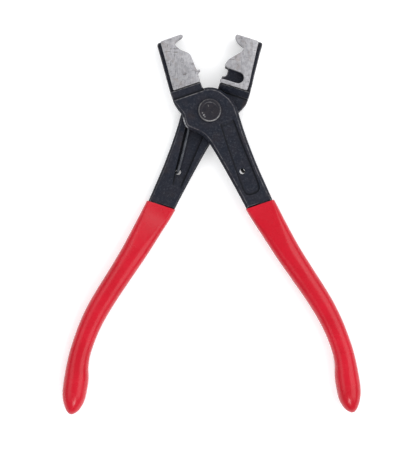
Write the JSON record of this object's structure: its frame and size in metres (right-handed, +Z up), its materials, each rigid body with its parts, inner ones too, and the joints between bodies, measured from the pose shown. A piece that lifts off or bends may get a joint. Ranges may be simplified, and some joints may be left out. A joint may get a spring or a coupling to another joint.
{
  "type": "hose clip pliers",
  "caption": "Spring-opened hand pliers with two lapped forged arms on one rivet, hooked jaw plates, one with a slot and one with a tooth, and dipped grips, lying flat and open.",
  "frame": {"origin": "on the pivot axis, in the plane that the tool lies on, at the middle of the rivet's flat rear head", "axes": "+Z up from the surface through the rivet, out of its front head; +Y from the pivot between the jaws; +X to the right as seen from +Z"},
  "size_m": [0.1313, 0.1669, 0.0128],
  "materials": {
    "black_oxide_arm": "satin black oxide over forged steel, bare steel on worn edges",
    "ground_steel": "ground bare steel, fine cross grain",
    "rivet_steel": "satin black oxide with a bright worn rim",
    "spring_wire": "oiled dark spring wire",
    "red_pvc": "smooth glossy dipped coating"
  },
  "bodies": {
    "rear_side": {"rear_arm": "black_oxide_arm", "rear_jaw_plate": "ground_steel", "left_grip": "red_pvc", "pivot_rivet": "rivet_steel", "return_spring": "spring_wire"},
    "front_side": {"front_arm": "black_oxide_arm", "front_jaw_plate": "ground_steel", "right_grip": "red_pvc"}
  },
  "joints": [
    {"name": "jaw_hinge", "type": "hinge", "parent": "rear_side", "child": "front_side", "pos_m": [0, 0, 0], "axis": [0, 0, -1], "range_deg": [0, 35.5], "stiffness_Nm_per_rad": 1, "springref_deg": -34.38, "deforming": ["return_spring"]}
  ]
}
